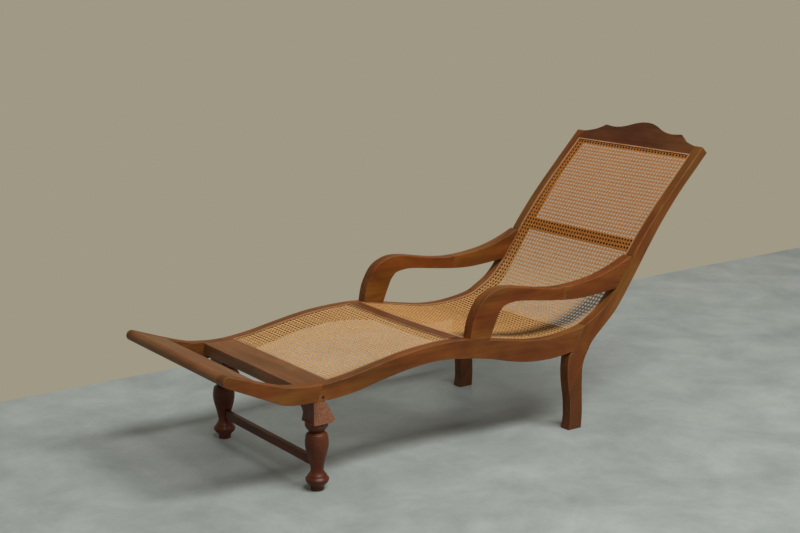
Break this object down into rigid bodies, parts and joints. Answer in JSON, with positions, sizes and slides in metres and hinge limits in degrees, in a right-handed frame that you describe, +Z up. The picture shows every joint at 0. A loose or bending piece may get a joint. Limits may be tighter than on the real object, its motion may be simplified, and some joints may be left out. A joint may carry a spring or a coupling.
{
  "type": "planters chair",
  "caption": "Long reclining chair with serpentine side rails, a raked caned back, open swan-neck arms, turned front legs and a caned leg rest.",
  "frame": {"origin": "on the floor, under the middle of the chair's box", "axes": "+Z up, +Y from the foot end towards the back, +X towards the sitter's left; the chair is symmetric about X = 0"},
  "size_m": [0.634, 1.9044, 0.9387],
  "materials": {
    "rail_wood": "oiled mid reddish brown hardwood, satin, worn light along its edges",
    "arm_wood": "oiled amber brown hardwood, satin, polished by hands",
    "turned_wood": "dark reddish brown turned hardwood, semi-gloss",
    "board_wood": "light worn brown hardwood, dry satin",
    "crest_wood": "dark reddish brown hardwood, satin",
    "peg_wood": "dark end grain, matt",
    "cane": "open six-way woven natural cane, honey, slight sheen",
    "binder": "flat strip of pale natural cane, slight sheen"
  },
  "bodies": {
    "root": {"side_rail_foot_left": "rail_wood", "side_rail_foot_right": "rail_wood", "side_rail_seat_left": "rail_wood", "side_rail_seat_right": "rail_wood", "back_post_left": "rail_wood", "back_post_right": "rail_wood", "arm_front_left": "arm_wood", "arm_front_right": "arm_wood", "arm_rear_left": "arm_wood", "arm_rear_right": "arm_wood", "front_leg_left": "turned_wood", "front_leg_right": "turned_wood", "front_stretcher": "turned_wood", "foot_bar": "board_wood", "foot_board": "board_wood", "middle_rail": "board_wood", "seat_cross_rail": "rail_wood", "back_cross_rail": "rail_wood", "crest_rail": "crest_wood", "foot_cane": "cane", "back_cane": "cane", "foot_cane_binder_left": "binder", "foot_cane_binder_right": "binder", "foot_cane_binder_front": "binder", "foot_cane_binder_rear": "binder", "back_cane_binder_left": "binder", "back_cane_binder_right": "binder", "back_cane_binder_front": "binder", "back_cane_binder_top": "binder", "leg_peg_left": "peg_wood", "leg_peg_right": "peg_wood", "rail_scarf_dowel_left": "peg_wood", "rail_scarf_dowel_right": "peg_wood", "knee_dowel_upper_left": "peg_wood", "knee_dowel_upper_right": "peg_wood", "knee_dowel_lower_left": "peg_wood", "knee_dowel_lower_right": "peg_wood", "arm_dowel_upper_left": "peg_wood", "arm_dowel_upper_right": "peg_wood", "arm_dowel_lower_left": "peg_wood", "arm_dowel_lower_right": "peg_wood"}
  },
  "joints": []
}
